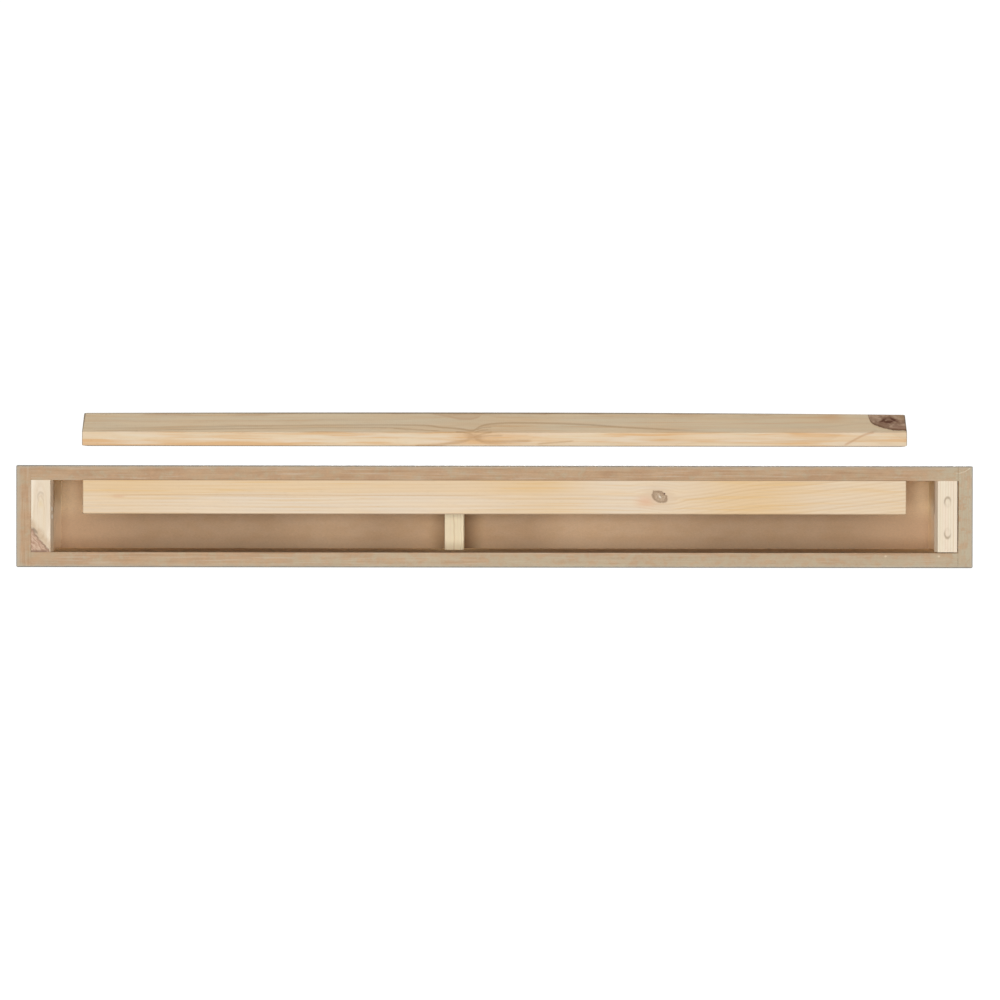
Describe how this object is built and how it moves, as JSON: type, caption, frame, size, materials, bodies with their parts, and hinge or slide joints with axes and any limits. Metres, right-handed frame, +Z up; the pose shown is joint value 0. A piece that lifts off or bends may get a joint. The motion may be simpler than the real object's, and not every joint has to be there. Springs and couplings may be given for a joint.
{
  "type": "floating shelf with french cleats",
  "caption": "Open-backed floating box shelf with a bevelled hanging cleat and corner blocks inside, and its separate bevelled wall cleat.",
  "frame": {"origin": "centre of the wall cleat's face on the wall", "axes": "+Z up, +Y from the wall into the room, +X along the shelf, to the right when looking from the wall; the wall's surface is the plane y = 0"},
  "size_m": [1.219, 0.2545, 0.1974],
  "materials": {
    "board": "medium density fibreboard, raw inside and round the open back, satin warm grey paint outside",
    "pine": "planed, unfinished knotty pine",
    "plug_wood": "sanded flush, unfinished pine",
    "dowel_beech": "plain beech",
    "screw_steel": "yellow zinc plate"
  },
  "bodies": {
    "wall_side": {"wall_cleat": "pine"},
    "shelf": {"top_panel": "board", "bottom_panel": "board", "front_panel": "board", "left_end_panel": "board", "right_end_panel": "board", "hang_cleat": "pine", "left_end_block": "pine", "right_end_block": "pine", "center_post": "pine", "left_pocket_screws": "screw_steel", "right_pocket_screws": "screw_steel", "left_pocket_plugs": "plug_wood", "right_pocket_plugs": "plug_wood", "cleat_screws": "screw_steel", "post_dowels": "dowel_beech", "top_front_dowels": "dowel_beech", "bottom_front_dowels": "dowel_beech", "left_end_dowels": "dowel_beech", "right_end_dowels": "dowel_beech"}
  },
  "joints": [
    {"name": "shelf_lift", "type": "slide", "parent": "wall_side", "child": "shelf", "axis": [0, 0, 1], "range_m": [0, 0.131]}
  ]
}
